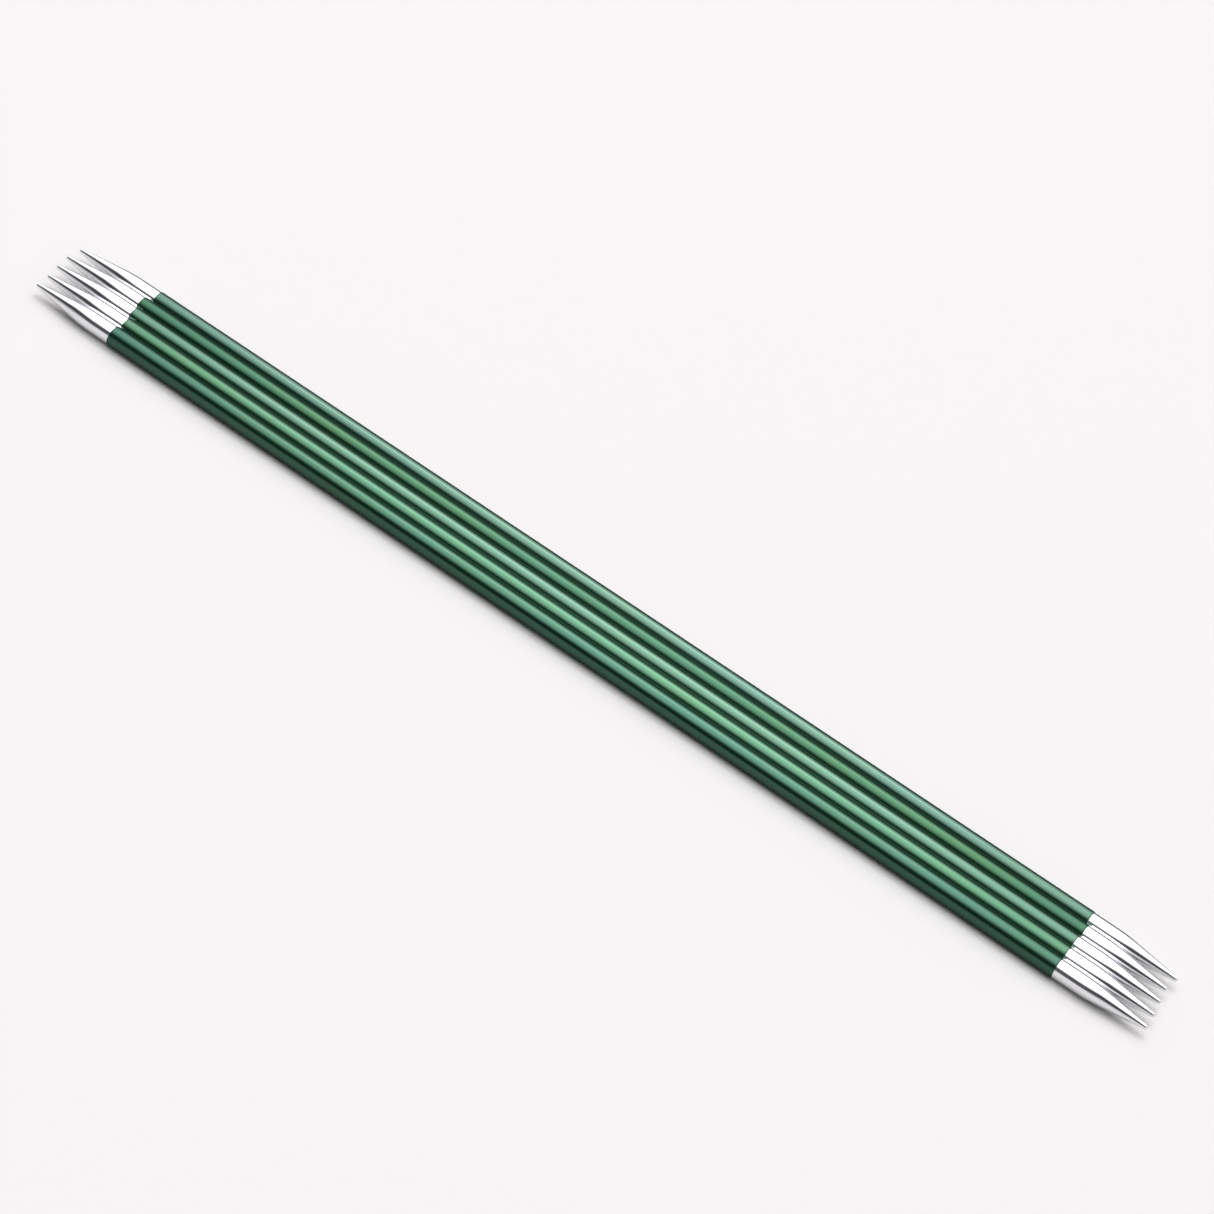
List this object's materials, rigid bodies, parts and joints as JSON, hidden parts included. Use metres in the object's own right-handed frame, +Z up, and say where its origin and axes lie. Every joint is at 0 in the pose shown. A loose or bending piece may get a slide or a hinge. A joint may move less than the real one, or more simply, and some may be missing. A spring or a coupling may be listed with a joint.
{
  "type": "double pointed needles",
  "caption": "Straight knitting needles with a tapered point at each end, lying side by side: coloured metal tubes with bright pressed-in tips.",
  "frame": {"origin": "on the surface the needles lie on, under the middle of the set", "axes": "+X along the needles to their right-hand points, +Y from the front needle to the back one, +Z up"},
  "size_m": [0.2018, 0.0164, 0.0033],
  "materials": {
    "anodised_tube": "emerald green anodised, satin gloss",
    "bright_tip": "bright turned and polished"
  },
  "bodies": {
    "needle_1": {"needle_1_shaft": "anodised_tube", "needle_1_left_tip": "bright_tip", "needle_1_right_tip": "bright_tip"},
    "needle_2": {"needle_2_shaft": "anodised_tube", "needle_2_left_tip": "bright_tip", "needle_2_right_tip": "bright_tip"},
    "needle_3": {"needle_3_shaft": "anodised_tube", "needle_3_left_tip": "bright_tip", "needle_3_right_tip": "bright_tip"},
    "needle_4": {"needle_4_shaft": "anodised_tube", "needle_4_left_tip": "bright_tip", "needle_4_right_tip": "bright_tip"},
    "needle_5": {"needle_5_shaft": "anodised_tube", "needle_5_left_tip": "bright_tip", "needle_5_right_tip": "bright_tip"}
  },
  "joints": [
    {"name": "needle_1_slide", "type": "slide", "parent": "needle_3", "child": "needle_1", "axis": [1, 0, 0], "range_m": [-0.205, 0.205]},
    {"name": "needle_2_slide", "type": "slide", "parent": "needle_3", "child": "needle_2", "axis": [1, 0, 0], "range_m": [-0.205, 0.205]},
    {"name": "needle_4_slide", "type": "slide", "parent": "needle_3", "child": "needle_4", "axis": [1, 0, 0], "range_m": [-0.205, 0.205]},
    {"name": "needle_5_slide", "type": "slide", "parent": "needle_3", "child": "needle_5", "axis": [1, 0, 0], "range_m": [-0.205, 0.205]}
  ]
}
